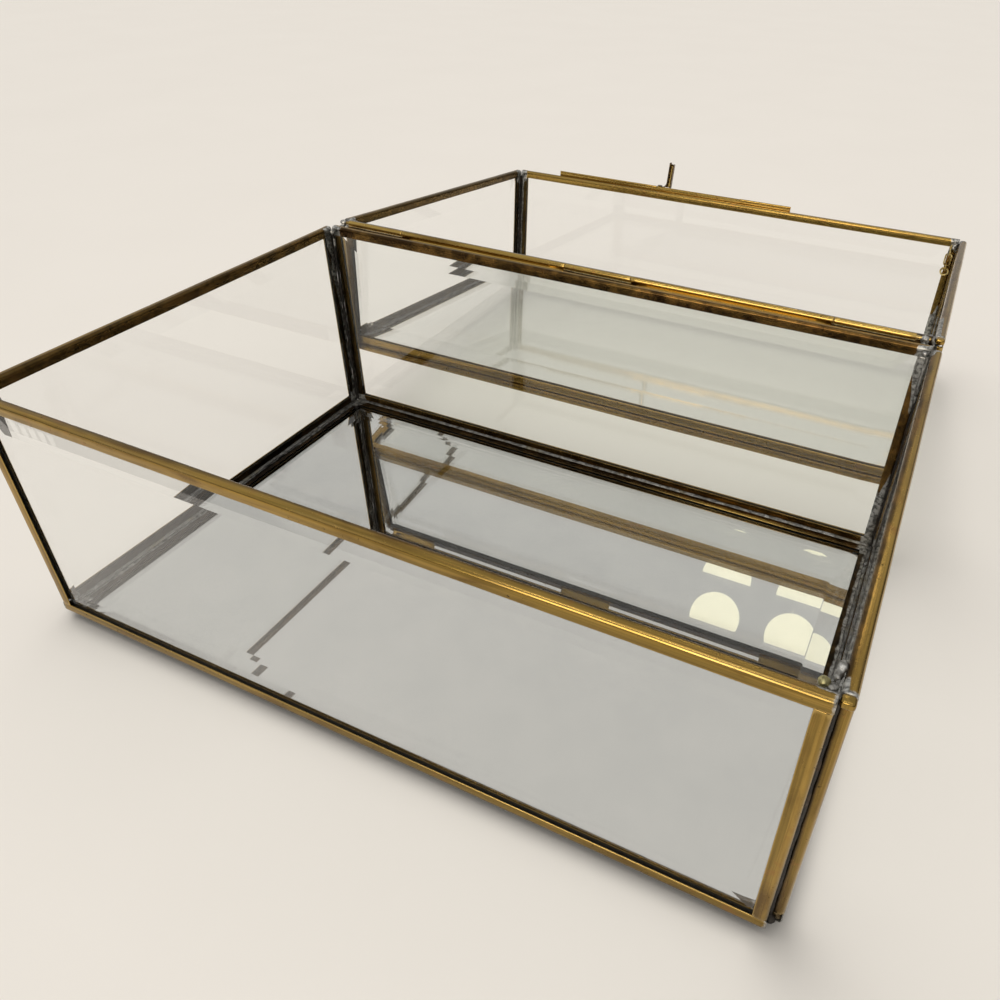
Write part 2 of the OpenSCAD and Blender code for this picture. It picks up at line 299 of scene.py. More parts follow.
def came_frame(name, L, H, place, seed, dark=(0.5, 0.3, 0.6), tin=0.8, flip=False):
    """The four strips around a panel of length L and height H, placed by place. dark is how dark the inner
    flanges are made, partly black patina and partly painted shade and dark reflection: of the lower strip, the upper
    strip and the two short ones; tin is how much solder is smeared at the corners."""
    parts = []
    for e, (length, f) in enumerate((
        (L, lambda s, u, v: (s, u, v)),
        (L, lambda s, u, v: (s, u, H - v)),
        (H - 2 * C + 0.3, lambda s, u, v: (v, u, s + C - 0.15)),
        (H - 2 * C + 0.3, lambda s, u, v: (L - v, u, s + C - 0.15)),
    )):
        pts, faces, idx, strip, wear = came_strip(length, seed + e)
        s, u, v = pts.T
        inner = ease(T - u if flip else u, T * 0.45, T - 1.0)
        end = np.minimum(s, length - s)
        # painted shade: the inner flanges are darkened, partly as patina and partly to stand in for shade and dark
        # reflections
        d = inner * dark[min(e, 2)]
        if e < 2:
            k = np.maximum(1 - ease(end, 2.0, 9.0), 0.55 * (1 - ease(v, 0.6, 1.6)) if e == 0 else 0) * np.maximum(inner, 0.75 * (1 - ease(end, 0.5, 3.5)))
        else:
            k = inner * np.maximum(1 - ease(v, 1.2, 3.8), 0.9 * (1 - ease(end, 1.0, 6.0)))
        if e > 1:
            # painted shade: the short strips are blackened along the seam where two panels meet at a corner
            seam_shade = 1 - ease(v, 0.2, 1.1)
            k = k * (1 - seam_shade)
            deep = (2.6, 3.6) if "right" in name or "left" in name else (0.5, 1.3)
            d = np.maximum(d, 0.95 * seam_shade * ease(T - u if flip else u, *deep))
        more, smear, brown = tarnish_and_shade(name, e, s, v, inner, length)
        d = np.clip(d + more, 0, 1)
        wear = wear * (1 - 0.8 * np.maximum(d, 0.7 * brown))
        parts.append((place(mapped(pts, f)), faces, idx, strip, wear, np.column_stack([d, np.clip(k * tin + smear, 0, 1), brown])))
    return parts


def ball(center, radii, seed, rough=0.12, detail=4, turn=None, squash=None):
    """A lump of solder: an ellipsoid with uneven, melted-looking sides."""
    bm = bmesh.new()
    bmesh.ops.create_icosphere(bm, subdivisions=detail, radius=1.0)
    pts = np.array([v.co[:] for v in bm.verts])
    faces = [tuple(v.index for v in f.verts) for f in bm.faces]
    bm.free()
    out = []
    for q in pts:
        d = 1 + rough * noise.fractal(Vector(q * 1.6) + Vector((seed * 3.3, seed, 0)), 0.7, 2.0, 3)
        out.append(q * d)
    out = np.array(out) * np.array(radii)
    if turn is not None:
        m = np.array(Matrix.Rotation(turn[0], 3, turn[1]))
        out = out @ m.T
    out = out + np.array(center, float)
    strip = np.column_stack([out[:, 0] * MM, (out[:, 1] + out[:, 2]) * MM, np.full(len(out), seed * 0.3)])
    return out, faces, [0] * len(faces), strip, np.zeros(len(out))


def rope(path, radius, seed, sides=14, rough=0.15):
    """A bead of solder run along a path of points; radius is a function of the share of the way along."""
    path = np.array(path, float)
    n = len(path)
    pts = []
    for j in range(n):
        t = path[min(n - 1, j + 1)] - path[max(0, j - 1)]
        t = t / np.linalg.norm(t)
        up = np.array([0, 0, 1.0]) if abs(t[2]) < 0.9 else np.array([1.0, 0, 0])
        a = np.cross(t, up)
        a /= np.linalg.norm(a)
        b = np.cross(t, a)
        f = j / (n - 1)
        r = radius(f)
        for i in range(sides):
            w = 2 * math.pi * i / sides
            q = a * math.cos(w) + b * math.sin(w)
            rr = r * (1 + rough * noise.noise(Vector(q * 1.3) + Vector(path[j] * 0.35) + Vector((seed * 2.1, 0, seed))))
            pts.append(path[j] + q * rr)
    pts = np.array(pts)
    faces = []
    for j in range(n - 1):
        for i in range(sides):
            i2 = (i + 1) % sides
            faces.append((j * sides + i, j * sides + i2, (j + 1) * sides + i2, (j + 1) * sides + i))
    faces.append(tuple(range(sides)))
    faces.append(tuple((n - 1) * sides + i for i in reversed(range(sides))))
    strip = np.column_stack([pts[:, 0] * MM, (pts[:, 1] + pts[:, 2]) * MM, np.full(len(pts), seed * 0.3)])
    return pts, faces, [0] * len(faces), strip, np.zeros(len(pts))


def melted(ob, voxel=0.00025, smooth=2):
    """Fuses the overlapping lumps of ob into one closed, smooth mesh."""
    m = ob.modifiers.new("fuse", "REMESH")
    m.mode = "VOXEL"
    m.voxel_size = voxel
    m.use_smooth_shade = True
    s = ob.modifiers.new("soften", "SMOOTH")
    s.factor = 0.5
    s.iterations = smooth
    dg = bpy.context.evaluated_depsgraph_get()
    me = bpy.data.meshes.new_from_object(ob.evaluated_get(dg))
    mats = [x for x in ob.data.materials]
    ob.modifiers.clear()
    ob.data = me
    me.materials.clear()
    for x in mats:
        me.materials.append(x)
    me.polygons.foreach_set("material_index", np.zeros(len(me.polygons), np.int32))
    me.polygons.foreach_set("use_smooth", np.full(len(me.polygons), True))
    return ob


def refined(node, name, mats, width=0.00012, segments=2, angle=22, seed=1, wobble=0.00002, cut=0.0012):
    """A finer copy of a CAD node: softened edges, denser faces and slight unevenness."""
    me = frame["nodes"][node].data.copy()
    me.name = name
    bm = bmesh.new()
    bm.from_mesh(me)
    bmesh.ops.remove_doubles(bm, verts=bm.verts[:], dist=2e-6)
    bmesh.ops.dissolve_limit(bm, angle_limit=math.radians(1.0), verts=bm.verts[:], edges=bm.edges[:])
    sharp = [e for e in bm.edges if e.is_manifold and e.calc_face_angle(0) > math.radians(angle)]
    bmesh.ops.bevel(bm, geom=sharp, offset=width, segments=segments, profile=0.6, affect="EDGES", clamp_overlap=True)
    bmesh.ops.triangulate(bm, faces=bm.faces[:])
    for _ in range(3):
        long = [e for e in bm.edges if e.calc_length() > cut]
        if not long:
            break
        bmesh.ops.subdivide_edges(bm, edges=long, cuts=1)
        bmesh.ops.triangulate(bm, faces=[f for f in bm.faces if len(f.verts) > 3])
    bmesh.ops.recalc_face_normals(bm, faces=bm.faces[:])
    bm.normal_update()
    move = []
    for v in bm.verts:
        d = wobble * (0.5 + noise.noise(v.co * 320 + Vector((seed, seed, 0)))) + wobble * 0.5 * noise.noise(v.co * 1200)
        move.append(v.co - v.normal * d)
    for v, c in zip(bm.verts, move):
        v.co = c
    bm.to_mesh(me)
    bm.free()
    me.materials.clear()
    for m in mats:
        me.materials.append(m)
    me.polygons.foreach_set("material_index", np.zeros(len(me.polygons), np.int32))
    me.polygons.foreach_set("use_smooth", np.full(len(me.polygons), True))
    me.set_sharp_from_angle(angle=math.radians(50))
    co = np.array([v.co[:] for v in me.vertices])
    me.attributes.new("strip", "FLOAT_VECTOR", "POINT").data.foreach_set(
        "vector", np.column_stack([co[:, 0], co[:, 1] + co[:, 2], np.full(len(co), seed * 0.4)]).astype(np.float32).ravel())
    me.attributes.new("wear", "FLOAT", "POINT").data.foreach_set("value", np.full(len(co), 0.15, np.float32))
    ob = bpy.data.objects.new(name, me)
    scene.collection.objects.link(ob)
    return ob


def done(ob, body, slot, *nodes):
    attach(ob, body)
    if nodes:
        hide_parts(*nodes)
    return ob


# ---------------------------------------------------------------- materials
class Tree:
    """A short way to write a material's nodes."""

    def __init__(self, name):
        self.m = bpy.data.materials.new(name)
        self.m.use_nodes = True
        self.t = self.m.node_tree
        for x in list(self.t.nodes):
            self.t.nodes.remove(x)
        self.out = self.t.nodes.new("ShaderNodeOutputMaterial")

    def node(self, kind, **kw):
        x = self.t.nodes.new(kind)
        for k, v in kw.items():
            setattr(x, k, v)
        return x

    def put(self, sock, v):
        if isinstance(v, bpy.types.NodeSocket):
            self.t.links.new(v, sock)
        elif v is not None:
            sock.default_value = v

    def attr(self, name, out="Vector"):
        return self.node("ShaderNodeAttribute", attribute_name=name).outputs[out]

    def coords(self):
        return self.node("ShaderNodeTexCoord").outputs["Object"]

    def vec(self, v, scale=(1, 1, 1), shift=(0, 0, 0)):
        x = self.node("ShaderNodeMapping")
        self.put(x.inputs["Vector"], v)
        x.inputs["Scale"].default_value = scale
        x.inputs["Location"].default_value = shift
        return x.outputs[0]

    def noise(self, v, scale, detail=4.0, rough=0.55, dist=0.0):
        x = self.node("ShaderNodeTexNoise")
        self.put(x.inputs["Vector"], v)
        x.inputs["Scale"].default_value = scale
        x.inputs["Detail"].default_value = detail
        x.inputs["Roughness"].default_value = rough
        x.inputs["Distortion"].default_value = dist
        return x.outputs[0]

    def math(self, op, a, b=0.0, clamp=False):
        x = self.node("ShaderNodeMath", operation=op, use_clamp=clamp)
        self.put(x.inputs[0], a)
        self.put(x.inputs[1], b)
        return x.outputs[0]

    def range(self, v, a, b, lo=0.0, hi=1.0, smooth=True):
        x = self.node("ShaderNodeMapRange", interpolation_type="SMOOTHSTEP" if smooth else "LINEAR")
        self.put(x.inputs[0], v)
        for i, y in enumerate((a, b, lo, hi)):
            x.inputs[i + 1].default_value = y
        return x.outputs[0]

    def mix(self, f, a, b, blend="MIX"):
        x = self.node("ShaderNodeMix", data_type="RGBA", blend_type=blend)
        self.put(x.inputs[0], f)
        self.put(x.inputs[6], a)
        self.put(x.inputs[7], b)
        return x.outputs[2]

    def bump(self, h, strength, distance, normal=None):
        x = self.node("ShaderNodeBump")
        x.inputs["Strength"].default_value = strength
        x.inputs["Distance"].default_value = distance
        self.put(x.inputs["Height"], h)
        if normal is not None:
            self.put(x.inputs["Normal"], normal)
        return x.outputs[0]

    def shader(self, **kw):
        x = self.node("ShaderNodeBsdfPrincipled")
        for k, v in kw.items():
            self.put(x.inputs[k.replace("_", " ")], v)
        return x

    def finish(self, s):
        self.t.links.new(s, self.out.inputs[0])
        return self.m


def rgb(r, g, b):
    return (r, g, b, 1.0)


def brass(name, gold=(0.43, 0.275, 0.07), olive=(0.27, 0.178, 0.044), brown=(0.10, 0.05, 0.016), patina=0.0, smooth=0.0, strips=True):
    """Old brass: gold where it is rubbed, olive and brown where it has dulled, with coppery spots, black patina and
    smeared solder. The black also paints shade and dark reflections on the inner flanges and corner seams.
    """
    t = Tree(name)
    o = t.coords()
    if strips:
        s = t.attr("strip")
        streak = t.noise(t.vec(s, (14, 2200, 1)), 1.0, 5, 0.6)
        band = t.noise(t.vec(s, (7, 520, 1), (7, 3, 1)), 1.0, 4, 0.6)
        hair = t.noise(t.vec(s, (90, 9000, 3)), 1.0, 3, 0.6)
        cloud = t.noise(t.vec(s, (34, 130, 1), (3, 1, 2)), 1.0, 7, 0.6, 0.5)
    else:
        streak = t.noise(t.vec(o, (500, 500, 900)), 1.0, 4, 0.6)
        band = t.noise(t.vec(o, (200, 200, 200)), 1.0, 4, 0.6)
        hair = t.noise(t.vec(o, (1500, 1500, 3000)), 1.0, 3, 0.6)
        cloud = t.noise(o, 180, 6, 0.62, 0.6)
    spots = t.noise(o, 620, 4, 0.6)
    copper = t.noise(t.vec(o, (1, 1, 1), (5, 2, 7)), 130, 6, 0.62, 0.3)
    big = t.noise(t.vec(o, (1, 1, 1), (1, 8, 3)), 24, 3, 0.5)
    wear = t.attr("wear", "Fac")
    age_and_shade = t.node("ShaderNodeSeparateXYZ")
    t.put(age_and_shade.inputs[0], t.attr("age_and_shade"))
    dull = t.range(t.math("ADD", t.math("ADD", t.math("MULTIPLY", cloud, 0.7), t.math("MULTIPLY", big, 0.45)), patina), 0.5, 0.8)
    col = t.mix(t.range(band, 0.4, 0.62), rgb(*gold), rgb(*olive))
    col = t.mix(t.range(streak, 0.5, 0.72, 0.0, 0.5), col, rgb(*brown))
    col = t.mix(t.math("MULTIPLY", dull, 0.75), col, rgb(*brown))
    col = t.mix(t.range(copper, 0.57, 0.72, 0.0, 0.55), col, rgb(0.34, 0.155, 0.048))
    col = t.mix(t.range(spots, 0.66, 0.74, 0.0, 0.8), col, rgb(0.035, 0.022, 0.012))
    tan = t.math("MULTIPLY", age_and_shade.outputs[2], t.range(t.math("ADD", t.math("MULTIPLY", cloud, 0.5), t.math("MULTIPLY", copper, 0.5)), 0.38, 0.62, 1.0, 0.6), True)
    col = t.mix(tan, col, t.mix(t.range(copper, 0.42, 0.6), rgb(0.052, 0.026, 0.009), rgb(0.155, 0.075, 0.022)))
    # black from the age_and_shade attribute: patina, and painted shade and dark reflection
    black = t.math("MULTIPLY", age_and_shade.outputs[0], t.range(t.math("ADD", t.math("MULTIPLY", cloud, 0.6), t.math("MULTIPLY", copper, 0.4)), 0.4, 0.6, 1.0, 0.8), True)
    rub = t.range(t.math("ADD", wear, t.math("MULTIPLY", t.math("SUBTRACT", cloud, 0.5), 1.2)), 0.25, 0.8)
    col = t.mix(t.math("MULTIPLY", rub, 0.5), col, rgb(0.68, 0.475, 0.17))
    col = t.mix(black, col, rgb(0.014, 0.011, 0.008))
    tinned = t.range(t.math("ADD", age_and_shade.outputs[1], t.math("MULTIPLY", t.math("SUBTRACT", t.math("ADD", t.math("MULTIPLY", cloud, 0.6), t.math("MULTIPLY", copper, 0.4)), 0.5), 1.5)), 0.42, 0.62)
    grey = t.mix(t.range(spots, 0.38, 0.62), rgb(0.58, 0.575, 0.55), rgb(0.16, 0.158, 0.15))
    col = t.mix(tinned, col, grey)
    rough = t.math("ADD", t.math("ADD", 0.13 - smooth, t.math("MULTIPLY", dull, 0.12)), t.math("ADD", t.math("MULTIPLY", streak, 0.10), t.range(spots, 0.6, 0.74, 0.0, 0.25)))
    rough = t.math("ADD", rough, t.math("ADD", t.math("MULTIPLY", black, 0.12), t.math("MULTIPLY", tinned, 0.16)))
    h = t.math("ADD", t.math("MULTIPLY", hair, 0.25), t.math("ADD", t.math("MULTIPLY", streak, 0.3), t.math("MULTIPLY", t.range(spots, 0.6, 0.78), -0.6)))
    h = t.math("ADD", h, t.math("MULTIPLY", tinned, t.math("ADD", t.math("MULTIPLY", copper, 2.2), 0.8)))
    b = t.shader(Base_Color=col, Metallic=1.0, Roughness=rough, Normal=t.bump(h, 0.25, 0.00005))
    return t.finish(b.outputs[0])


def channel():
    """Inside of the came, packed with old dark putty, kept near black also as painted shade inside the channel."""
    t = Tree("channel_putty_and_shade")
    o = t.coords()
    g = t.noise(o, 900, 4, 0.6)
    col = t.mix(g, rgb(0.012, 0.011, 0.009), rgb(0.045, 0.04, 0.032))
    return t.finish(t.shader(Base_Color=col, Roughness=t.range(g, 0.3, 0.7, 0.6, 0.9), Normal=t.bump(g, 0.5, 0.0001)).outputs[0])


def solder(name="tinned_solder", k=1.0, hue=(1.0, 1.0, 1.0)):
    """Lead-tin solder: grey and silvery, pitted and spotted, with a little brass colour in places."""
    t = Tree(name)
    o = t.coords()
    shade = lambda *c: rgb(*[x * k * h for x, h in zip(c, hue)])
    a = t.noise(o, 420, 6, 0.62, 0.5)
    b = t.noise(t.vec(o, (1, 1, 1), (4, 4, 1)), 1600, 4, 0.6)
    c = t.noise(t.vec(o, (1, 1, 1), (9, 1, 5)), 90, 4, 0.5)
    col = t.mix(t.range(a, 0.35, 0.68), shade(0.46, 0.455, 0.435), shade(0.13, 0.125, 0.115))
    col = t.mix(t.range(b, 0.58, 0.72, 0, 0.6), col, shade(0.06, 0.056, 0.05))
    col = t.mix(t.range(c, 0.55, 0.72, 0, 0.45), col, shade(0.36, 0.29, 0.13))
    rough = t.range(a, 0.3, 0.75, 0.24, 0.55)
    h = t.math("ADD", t.math("MULTIPLY", a, 1.0), t.math("MULTIPLY", b, 0.35))
    return t.finish(t.shader(Base_Color=col, Metallic=0.92, Roughness=rough, Normal=t.bump(h, 0.45, 0.00018)).outputs[0])


def notch_run_shaded():
    """Near-black solder for the runs in the corner notches: old patina and dirt, and painted shade of the deep notch.
    """
    t = Tree("notch_solder_patina_and_shade")
    o = t.coords()
    a = t.noise(o, 420, 6, 0.62, 0.5)
    c = t.noise(t.vec(o, (1, 1, 1), (9, 1, 5)), 110, 5, 0.55)
    col = t.mix(t.range(a, 0.35, 0.68), rgb(0.012, 0.010, 0.008), rgb(0.04, 0.034, 0.028))
    col = t.mix(t.range(c, 0.54, 0.7, 0, 0.7), col, rgb(0.075, 0.042, 0.018))
    return t.finish(t.shader(Base_Color=col, Metallic=0.35, Roughness=t.range(a, 0.3, 0.7, 0.42, 0.7), Normal=t.bump(a, 0.45, 0.00018)).outputs[0])


def glass(name, tint, seed, haze=0.0):
    """Clear glass with faint wipe marks. Lamps shine through it, so it casts only a light shadow."""
    t = Tree(name)
    o = t.coords()
    wipe = t.noise(t.vec(o, (14, 14, 60), (seed, 0, 0)), 1.0, 5, 0.6, 1.2)
    rough = t.range(wipe, 0.58, 0.8, 0.0, 0.012) if haze else 0.0
    b = t.shader(Base_Color=rgb(*tint), Roughness=rough, Transmission_Weight=1.0, IOR=1.5)
    clear = t.node("ShaderNodeBsdfTransparent")
    clear.inputs[0].default_value = rgb(*tint)
    lp = t.node("ShaderNodeLightPath")
    side = b.outputs[0]
    for ray in ("Is Diffuse Ray", "Is Shadow Ray"):
        mixer = t.node("ShaderNodeMixShader")
        t.put(mixer.inputs[0], lp.outputs[ray])
        t.put(mixer.inputs[1], side)
        t.put(mixer.inputs[2], clear.outputs[0])
        side = mixer.outputs[0]
    return t.finish(side)


def silvering():
    t = Tree("silvering")
    o = t.coords()
    a = t.noise(o, 30, 5, 0.6)
    s = t.noise(t.vec(o, (1, 1, 1), (2, 5, 1)), 500, 4, 0.6)
    col = t.mix(t.range(a, 0.3, 0.7), rgb(0.785, 0.775, 0.745), rgb(0.74, 0.735, 0.71))
    col = t.mix(t.range(s, 0.7, 0.8, 0, 0.5), col, rgb(0.3, 0.3, 0.28))
    return t.finish(t.shader(Base_Color=col, Metallic=1.0, Roughness=t.range(s, 0.62, 0.8, 0.0, 0.12)).outputs[0])


def felt():
    t = Tree("green_felt")
    o = t.coords()
    a = t.noise(o, 2600, 3, 0.7)
    b = t.noise(o, 60, 5, 0.6)
    col = t.mix(a, rgb(0.018, 0.045, 0.028), rgb(0.05, 0.1, 0.065))
    col = t.mix(t.range(b, 0.45, 0.7, 0, 0.4), col, rgb(0.06, 0.085, 0.05))
    return t.finish(t.shader(Base_Color=col, Roughness=0.95, Sheen_Weight=0.4, Normal=t.bump(a, 0.6, 0.0003)).outputs[0])


BRASS = brass("aged_brass")
BRASS_DARK = brass("aged_brass_hinge", gold=(0.54, 0.365, 0.105), olive=(0.37, 0.245, 0.062), patina=-0.04, smooth=0.03)
BRASS_SMALL = brass("aged_brass_small", gold=(0.60, 0.43, 0.16), patina=-0.05, strips=False)
BRASS_CHAIN = brass("aged_brass_chain", gold=(0.86, 0.69, 0.32), patina=-0.12, strips=False)
CHANNEL_DARK = channel()
SOLDER = solder()
SOLDER_DARK = notch_run_shaded()
SOLDER_DULL = solder("dull_solder", 0.5)
BROWNED = solder("browned_solder", 0.62, (1.0, 0.74, 0.40))
DRIP = solder("yellowed_solder", 1.5, (1.0, 0.93, 0.50))
GLASS_BASE = glass("plate_glass", (0.991, 0.996, 0.993), 1.0, 1)
GLASS_LID = glass("lid_glass", (0.991, 0.996, 0.993), 5.0, 1)
# deeper green-grey tint than the other panes: glass colour, and painted shade darkening the table seen under the lid
GLASS_TOP = glass("lid_top_glass_tint_and_shade", (0.93, 0.942, 0.918), 5.0, 1)
GLASS_MIRROR = glass("mirror_glass", (0.985, 0.99, 0.988), 9.0)
SILVER = silvering()
FELT = felt()

# ---------------------------------------------------------------- came frames
# the sixth column darkens each panel's inner flanges: patina and painted shade
PANELS = (
    ("base_front", LX, WALL, lambda p: base_up(front(p)), "base", (0.55, 0.3, 0.75), 0.8),
    ("base_back", LX, WALL, lambda p: base_up(back(p)), "base", (0.4, 0.3, 0.9), 0.9),
    ("base_left", LD, WALL, lambda p: base_up(left(p)), "base", (0.93, 0.55, 0.95), 0.85),
    ("base_right", LD, WALL, lambda p: base_up(right(p)), "base", (0.85, 0.3, 0.9), 0.95),
    ("floor", LX, LD, floor_place, "base", (0.9, 0.85, 0.95), 0.5),
    ("lid_front", LX, LIDH, lambda p: lid_walls(back(p)), "lid", (0.5, 0.3, 0.8), 0.8),
    ("lid_back", LX, LIDH, lambda p: lid_walls(front(p)), "lid", (0.4, 0.3, 0.7), 0.8),
    ("lid_left", LD, LIDH, lambda p: lid_walls(left(p)), "lid", (0.93, 0.6, 0.95), 0.85),
    ("lid_right", LD, LIDH, lambda p: lid_walls(right(p)), "lid", (0.8, 0.25, 0.85), 0.85),
    ("lid_top", TX, TD, top_place, "lid", (0.3, 0.3, 0.6), 0.4),
)
for i, (name, L, H, place, body, dark, tin) in enumerate(PANELS):
    ob = build(name + "_came_formed", came_frame(name, L, H, place, 10 + i * 5, dark, tin, name == "floor"), [BRASS, CHANNEL_DARK])
    done(ob, body, "brass", name + "_came")

for name, ob in frame["nodes"].items():
    if name.endswith("_glass"):
        m = GLASS_TOP if name == "lid_top_glass" else GLASS_LID if name.startswith("lid") else GLASS_BASE
        ob.data.materials.clear()
        ob.data.materials.append(m)
        ob.data.polygons.foreach_set("use_smooth", np.full(len(ob.data.polygons), False))
for name, m in (("floor_mirror", GLASS_MIRROR), ("floor_pad", FELT)):
    ob = frame["nodes"][name]
    ob.data.materials.clear()
    ob.data.materials.append(m)

# silver layer inside the underside of the mirror
x0, y0 = LX / 2 - BK - 0.15, LD / 2 - BK - 0.15
z0, z1 = 0.53, 0.60
v = [(-x0, -y0, z0), (x0, -y0, z0), (x0, y0, z0), (-x0, y0, z0), (-x0, -y0, z1), (x0, -y0, z1), (x0, y0, z1), (-x0, y0, z1)]
f = [(0, 3, 2, 1), (4, 5, 6, 7), (0, 1, 5, 4), (1, 2, 6, 5), (2, 3, 7, 6), (3, 0, 4, 7)]
done(build("mirror_silver", [(v, f, [0] * 6, np.zeros((8, 3)), np.zeros(8))], [SILVER], smooth=False), "base", "mirror")

# ---------------------------------------------------------------- solder
rng = Random(7)


def corner_parts(h, place, seed, heavy=False, smeared=False, slim=False):
    """Solder at one corner; the notch's inner point is the origin, x and y run outward.
    Gives the dark run in the notch and the grey lumps inside and on the rim."""
    n = 60
    thick = 0.95 if heavy else 0.55 if slim else 0.8
    path = [(-0.1 + 0.1 * n1(i / 6, seed), -0.1 + 0.1 * n1(i / 6, seed + 3), 1.0 + (h - 4.6) * i / (n - 1)) for i in range(n)]
    run = [rope(path, lambda f: thick + 0.22 * n1(f * 14, seed + 5), seed)]
    run.append(ball((0.6, 0.6, 1.9), (1.6, 1.6, 1.4), seed + 1))
    lumps = [ball((-1.9, -1.9, h - 2.0), (1.35, 1.3, 1.2), seed + 4, 0.2)]
    if heavy:
        lumps.append(ball((-0.9, -8.4, h - 1.3), (1.3, 1.9, 1.15), seed + 6, 0.3))
        lumps.append(ball((-1.3, -6.2, h - 1.9), (1.1, 1.6, 0.9), seed + 5, 0.3))
    lumps.append(ball((-4.2, -4.2, h - 6.4), (0.5, 0.5, 2.2), seed + 7, 0.25))
    if smeared:
        lumps.append(ball((-0.75, -0.75, h - 13), (0.95, 0.95, 10.5), seed + 2, 0.3))
    fix = lambda q: [(place(p), f, m, s, w) for p, f, m, s, w in q]
    return fix(run), fix(lumps)


def block(center, size, seed, soft=0.9):
    """The rounded end of a strip."""
    bm = bmesh.new()
    bmesh.ops.create_cube(bm, size=1.0)
    for v in bm.verts:
        v.co = Vector(v.co[i] * size[i] for i in range(3))
    bmesh.ops.bevel(bm, geom=bm.edges[:], offset=soft, segments=4, profile=0.5, affect="EDGES", clamp_overlap=True)
    pts = np.array([v.co[:] for v in bm.verts])
    faces = [tuple(v.index for v in f.verts) for f in bm.faces]
    bm.free()
    pts = pts + np.array(center, float)
    strip = np.column_stack([pts[:, 2] * MM, (pts[:, 0] + pts[:, 1]) * MM, np.full(len(pts), seed * 0.3)])
    return pts, faces, [0] * len(faces), strip, np.full(len(pts), 0.1)


def four(place):
    out = []
    for mx in (1, -1):
        for my in (1, -1):
            out.append(lambda p, mx=mx, my=my: place(mapped(p, lambda x, y, z: (mx * (W / 2 - T + x), my * (D / 2 - T + y), z))))
    return out


def plugs(panels, seed):
    """Solder that closes the open ends of the long strips."""
    out = []
    for name, L, H, place, body, dark, tin in panels:
        for x, sx in ((0.0, 1), (L, -1)):
            for z, sz in ((0.0, 1), (H, -1)):
                p, f, m, s, w = ball((0, 0, 0), (0.75, 1.72, 1.75), seed, 0.1, 3)
                p = p + [x + sx * 0.95, T / 2, z + sz * 2.35]
                out.append((place(p), f, m, s, w))
                seed += 1
    return out


for part, h, place, body, s0 in (("base", WALL, base_up, "base", 3), ("lid", LIDH, lid_walls, "lid", 53)):
    runs, lumps, ends = [], [], []
    for i, pl in enumerate(four(place)):
        a, b = corner_parts(h, pl, s0 + i * 9, part == "base" and i == 1, (part, i) in (("base", 0), ("lid", 1)), (part, i) == ("lid", 0))
        (lumps if (part, i) == ("lid", 1) else ends if (part, i) == ("lid", 0) else runs).extend(a)
        lumps += b
    # the notch runs are near black: patina and painted shade of the notch
    done(melted(build(part + "_corner_run", runs, [SOLDER_DARK])), body, "solder", part + "_corner_solder")
    done(melted(build(part + "_corner_lumps", lumps, [SOLDER])), body, "solder")
    mine = [q for q in PANELS if q[4] == body and q[0] not in ("floor", "lid_top")]
    if ends:
        done(melted(build(part + "_corner_run_brown", ends, [BROWNED])), body, "solder")
    done(build(part + "_strip_ends", plugs(mine, s0 + 40), [BROWNED]), body, "solder")


# the right-hand rails run a little past the corner
p, f, m, st, w = block((W / 2 - 1.95, -D / 2 + 2.75, R - 1.45), (3.6, 3.2, 2.6), 201)
done(build("base_rail_end", [(p, f, m, st, w)], [BRASS]), "base", "brass")
p, f, m, st, w = block((W / 2 - 1.95, LY - D / 2 + 2.25, R - 1.35), (3.6, 4.1, 2.4), 203)
done(build("lid_rail_end", [(lean(p), f, m, st, w)], [BRASS]), "lid", "brass")
p, f, m, st, w = ball((W / 2 - T - 3.9, -D / 2 + T + 2.4, R - 1.5), (1.5, 1.5, 1.2), 207, 0.14)
done(melted(build("base_corner_drip", [(p, f, m, st, w)], [DRIP])), "base", "solder")


def fillet(length, seed, outline, step=0.7, rough=0.2):
    """A bead laid along a corner: outline is a list of (across, up); it swells and thins along its length."""
    n = int(length / step)
    k = len(outline)
    o = np.array(outline, float)
    c = o[0]
    pts = []
    for j in range(n + 1):
        s = -length / 2 + length * j / n
        g = 1 + rough * (n1(s / 7.0, seed) + 0.4 * n1(s / 3.0, seed + 4))
        if j in (0, n):
            g *= 0.6
        for i, q in enumerate(o):
            w = g * (1 + 0.08 * noise.noise(Vector((s / 4.0, i * 0.8, seed))))
            p = c + (q - c) * (w if i else 1)
            pts.append((p[0], s, p[1]))
    faces = []
    for j in range(n):
        for i in range(k):
            i2 = (i + 1) % k
            faces.append((j * k + i, j * k + i2, (j + 1) * k + i2, (j + 1) * k + i))
    faces += [tuple(range(k)), tuple(n * k + i for i in reversed(range(k)))]
    pts = np.array(pts)
    strip = np.column_stack([pts[:, 1] * MM, (pts[:, 0] + pts[:, 2]) * MM, np.full(len(pts), seed * 0.3)])
    return pts, faces, [0] * len(faces), strip, np.zeros(len(pts))


FLOOR_BEAD = [(-0.5, 3.4), (0.4, 3.5), (0.95, 3.8), (1.2, 4.0), (1.25, 4.15), (1.0, 4.35), (0.7, 4.5), (0.35, 4.7), (0.0, 4.85), (-0.35, 4.8)]
parts = []
for m in (1, -1):
    for seed, length, f in (
        (61, LD - 1.0, lambda x, y, z, m=m: (m * (-LX / 2 + x), y, z)),
        (67, LX - 1.0, lambda x, y, z, m=m: (y, m * (-LD / 2 + x), z)),
    ):
        p, fa, mi, st, we = fillet(length, seed + m, FLOOR_BEAD)
        parts.append((mapped(p, f), fa, mi, st, we))
done(build("floor_solder_run", parts, [SOLDER_DULL]), "base", "solder", "floor_solder")

